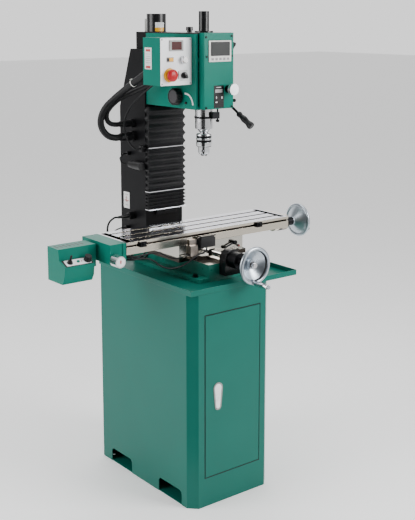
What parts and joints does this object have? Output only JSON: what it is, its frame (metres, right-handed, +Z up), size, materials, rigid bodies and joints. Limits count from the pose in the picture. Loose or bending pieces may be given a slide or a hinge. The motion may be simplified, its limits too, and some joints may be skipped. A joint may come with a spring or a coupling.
{
  "type": "bench mill-drill on a cabinet stand",
  "caption": "Bench mill-drill with a column, sliding head, drill chuck, compound table with power feed, and a steel cabinet stand.",
  "frame": {"origin": "on the floor, at the centre of the four floor bolt holes under the cabinet", "axes": "+X to the operator's right along the table, +Y from the operator to the column, +Z up along the spindle"},
  "size_m": [1.121, 0.748, 1.618],
  "materials": {
    "green_paint": "glossy green enamel on sheet steel and castings",
    "machined_iron": "ground and scraped grey iron, light oil film",
    "dark_iron": "satin charcoal paint",
    "black_oxide": "black oxide steel",
    "black_plastic": "moulded black plastic",
    "bright_steel": "turned and ground steel",
    "chrome": "polished chrome",
    "cast_aluminium": "turned and polished aluminium",
    "white_plastic": "moulded white plastic",
    "red_plastic": "moulded red plastic",
    "yellow_plastic": "moulded yellow plastic",
    "black_rubber": "black flexible conduit and cable sheath",
    "bellows_cloth": "coated black folding cover",
    "belt_rubber": "black drive belt"
  },
  "bodies": {
    "root": {"cabinet_shell": "green_paint", "door_hinge_pins": "bright_steel", "chip_tray": "green_paint", "machine_base": "green_paint", "base_bolts": "black_oxide", "y_bearing_bracket": "black_oxide", "column": "dark_iron", "lift_housing": "dark_iron", "lift_motor": "black_oxide", "column_fittings": "black_plastic", "bellows": "bellows_cloth", "feed_cables": "black_rubber"},
    "door": {"cabinet_door": "green_paint", "door_pull_case": "dark_iron"},
    "pull": {"door_pull_paddle": "white_plastic"},
    "cross_screw": {"y_leadscrew": "bright_steel", "y_dial": "black_oxide", "y_handwheel": "cast_aluminium"},
    "cross_crank": {"y_crank_handle": "cast_aluminium"},
    "saddle": {"saddle": "machined_iron", "limit_switch": "black_plastic", "limit_cables": "black_rubber"},
    "saddle_lock": {"saddle_lock_lever": "black_oxide"},
    "table": {"table": "machined_iron", "table_end_bracket": "machined_iron", "table_stops": "black_oxide", "feed_gearbox": "green_paint", "feed_housing": "green_paint"},
    "long_screw": {"x_leadscrew": "bright_steel", "x_dial": "black_oxide", "x_handwheel": "cast_aluminium"},
    "long_crank": {"x_crank_handle": "cast_aluminium"},
    "feed_direction": {"feed_lever": "black_plastic"},
    "feed_speed": {"feed_speed_knob": "black_plastic"},
    "feed_clutch": {"clutch_knob": "bright_steel"},
    "lift_screw": {"z_leadscrew": "bright_steel"},
    "head": {"head_casting": "green_paint", "front_cover": "green_paint", "top_cover": "black_oxide", "drawbar_cap": "black_oxide", "spindle_motor": "dark_iron", "drive_belt": "belt_rubber", "depth_display": "white_plastic", "control_box": "green_paint", "head_cables": "black_rubber"},
    "quill": {"quill": "bright_steel", "depth_rod": "black_oxide"},
    "spindle": {"spindle": "bright_steel", "drill_chuck": "chrome"},
    "motor_shaft": {"motor_pulley": "machined_iron"},
    "spindle_drive": {"spindle_pulley": "machined_iron"},
    "feed_hub": {"feed_hub": "black_oxide", "feed_levers": "black_plastic"},
    "fine_feed": {"fine_feed_knob": "bright_steel"},
    "quill_lock": {"quill_lock_lever": "black_oxide"},
    "range_selector": {"range_knob": "black_plastic"},
    "stop": {"stop_button": "red_plastic"},
    "power": {"power_button": "yellow_plastic"},
    "spindle_speed": {"speed_knob": "bright_steel"},
    "direction": {"direction_switch": "black_plastic"}
  },
  "joints": [
    {"name": "door_hinge", "type": "hinge", "parent": "root", "child": "door", "pos_m": [0.109, -0.267, 0.38], "axis": [0, 0, 1], "range_deg": [0, 110]},
    {"name": "door_pull", "type": "hinge", "parent": "door", "child": "pull", "pos_m": [-0.063, -0.2685, 0.402], "axis": [-1, 0, 0], "range_deg": [0, 32], "stiffness_Nm_per_rad": 0.05},
    {"name": "cross_handwheel", "type": "hinge", "parent": "root", "child": "cross_screw", "pos_m": [0.054, -0.3, 0.803], "axis": [0, 1, 0], "range_deg": [-4680, 7560]},
    {"name": "saddle_slide", "type": "slide", "parent": "root", "child": "saddle", "axis": [0, 1, 0], "range_m": [-0.052, 0.084], "deforming": ["feed_cables"]},
    {"name": "cross_crank_spin", "type": "hinge", "parent": "cross_screw", "child": "cross_crank", "pos_m": [0.04445, -0.35, 0.74884], "axis": [0, 1, 0], "continuous": true},
    {"name": "saddle_lock_turn", "type": "hinge", "parent": "saddle", "child": "saddle_lock", "pos_m": [0.148, -0.088, 0.828], "axis": [0, 1, 0], "range_deg": [0, 35]},
    {"name": "table_slide", "type": "slide", "parent": "saddle", "child": "table", "axis": [1, 0, 0], "range_m": [-0.188, 0.188], "deforming": ["limit_cables"]},
    {"name": "long_handwheel", "type": "hinge", "parent": "table", "child": "long_screw", "pos_m": [0.5, 0.002, 0.8415], "axis": [1, 0, 0], "range_deg": [-16920, 16920]},
    {"name": "long_crank_spin", "type": "hinge", "parent": "long_screw", "child": "long_crank", "pos_m": [0.58, 0.02697, 0.79249], "axis": [1, 0, 0], "continuous": true},
    {"name": "feed_lever_turn", "type": "hinge", "parent": "table", "child": "feed_direction", "pos_m": [-0.47, -0.035, 0.837], "axis": [0, -0.4061, 0.9138], "range_deg": [-30, 30]},
    {"name": "feed_speed_turn", "type": "hinge", "parent": "table", "child": "feed_speed", "pos_m": [-0.406, -0.035, 0.837], "axis": [0, -0.4061, 0.9138], "range_deg": [-140, 140]},
    {"name": "feed_clutch_turn", "type": "hinge", "parent": "table", "child": "feed_clutch", "pos_m": [-0.338, -0.1, 0.837], "axis": [0, -1, 0], "range_deg": [0, 90]},
    {"name": "lift_screw_turn", "type": "hinge", "parent": "root", "child": "lift_screw", "pos_m": [0.054, 0.229, 1.2], "axis": [0, 0, 1], "range_deg": [-17280, 720]},
    {"name": "head_lift", "type": "slide", "parent": "root", "child": "head", "axis": [0, 0, 1], "range_m": [-0.192, 0.008], "deforming": ["bellows", "head_cables"]},
    {"name": "quill_feed", "type": "hinge", "parent": "head", "child": "feed_hub", "pos_m": [0.15, -0.005, 1.343], "axis": [1, 0, 0], "range_deg": [0, 204]},
    {"name": "quill_slide", "type": "slide", "parent": "head", "child": "quill", "axis": [0, 0, -1], "range_m": [0, 0.05]},
    {"name": "spindle_spin", "type": "hinge", "parent": "quill", "child": "spindle", "pos_m": [0.054, -0.046, 1.3], "axis": [0, 0, 1], "continuous": true},
    {"name": "spindle_drive_spin", "type": "hinge", "parent": "head", "child": "spindle_drive", "pos_m": [0.054, -0.046, 1.49], "axis": [0, 0, 1], "continuous": true},
    {"name": "motor_spin", "type": "hinge", "parent": "head", "child": "motor_shaft", "pos_m": [0.054, 0.084, 1.49], "axis": [0, 0, 1], "continuous": true},
    {"name": "fine_feed_turn", "type": "hinge", "parent": "head", "child": "fine_feed", "pos_m": [0.091, -0.15, 1.363], "axis": [0, -1, 0], "continuous": true},
    {"name": "quill_lock_turn", "type": "hinge", "parent": "head", "child": "quill_lock", "pos_m": [0.135, -0.082, 1.325], "axis": [1, 0, 0], "range_deg": [-20, 40]},
    {"name": "range_turn", "type": "hinge", "parent": "head", "child": "range_selector", "pos_m": [-0.03, -0.002, 1.336], "axis": [-1, 0, 0], "range_deg": [-60, 60]},
    {"name": "stop_press", "type": "slide", "parent": "head", "child": "stop", "axis": [0, 1, 0], "range_m": [0, 0.006], "stiffness_N_per_m": 800},
    {"name": "power_press", "type": "slide", "parent": "head", "child": "power", "axis": [0, 1, 0], "range_m": [0, 0.003], "stiffness_N_per_m": 500},
    {"name": "speed_turn", "type": "hinge", "parent": "head", "child": "spindle_speed", "pos_m": [-0.056, -0.08, 1.462], "axis": [0, -1, 0], "range_deg": [-140, 140]},
    {"name": "direction_turn", "type": "hinge", "parent": "head", "child": "direction", "pos_m": [-0.054, -0.08, 1.411], "axis": [0, -1, 0], "range_deg": [-45, 45]}
  ],
  "couplings": [
    {"joint": "cross_handwheel", "follows": "saddle_slide", "rad_per_m": 1570.8},
    {"joint": "long_handwheel", "follows": "table_slide", "rad_per_m": 1570.8},
    {"joint": "lift_screw_turn", "follows": "head_lift", "rad_per_m": 1570.8},
    {"joint": "quill_slide", "follows": "quill_feed", "m_per_rad": 0.014},
    {"joint": "spindle_drive_spin", "follows": "spindle_spin", "ratio": 1},
    {"joint": "motor_spin", "follows": "spindle_spin", "ratio": 1.6364}
  ]
}
